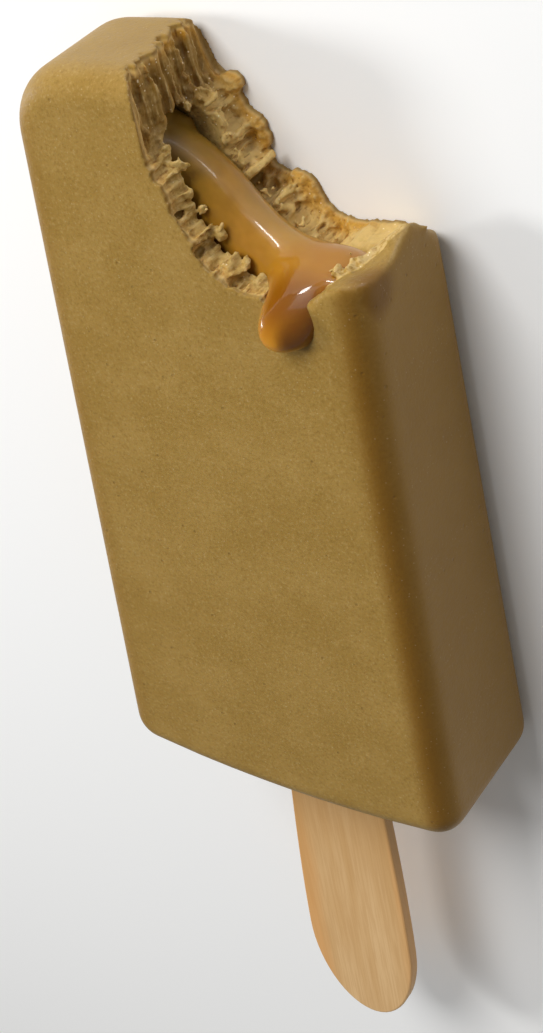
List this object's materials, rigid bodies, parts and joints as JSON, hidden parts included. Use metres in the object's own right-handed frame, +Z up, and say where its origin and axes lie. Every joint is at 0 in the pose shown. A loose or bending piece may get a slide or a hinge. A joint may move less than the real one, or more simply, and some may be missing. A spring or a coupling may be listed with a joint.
{
  "type": "ice cream bar",
  "caption": "Moulded ice cream bar with a caramel core, bitten at a tip corner so the caramel runs out over the front, on a flat wooden stick.",
  "frame": {"origin": "on the surface the bar lies on, under the middle of its bounding box, stick included", "axes": "+Y along the length from the stick's free end to the bar's tip, +Z up out of the shown front face, +X to the bitten corner's side"},
  "size_m": [0.0536, 0.1641, 0.0233],
  "materials": {
    "ice_cream": "frozen dairy dessert, satin and faintly frosty outside, torn and crumbly at the bite",
    "caramel": "soft milk caramel, smooth and glossy",
    "stick_wood": "plain unvarnished light wood, lengthwise grain"
  },
  "bodies": {
    "root": {"ice_cream": "ice_cream", "caramel_filling": "caramel", "stick": "stick_wood"}
  },
  "joints": []
}
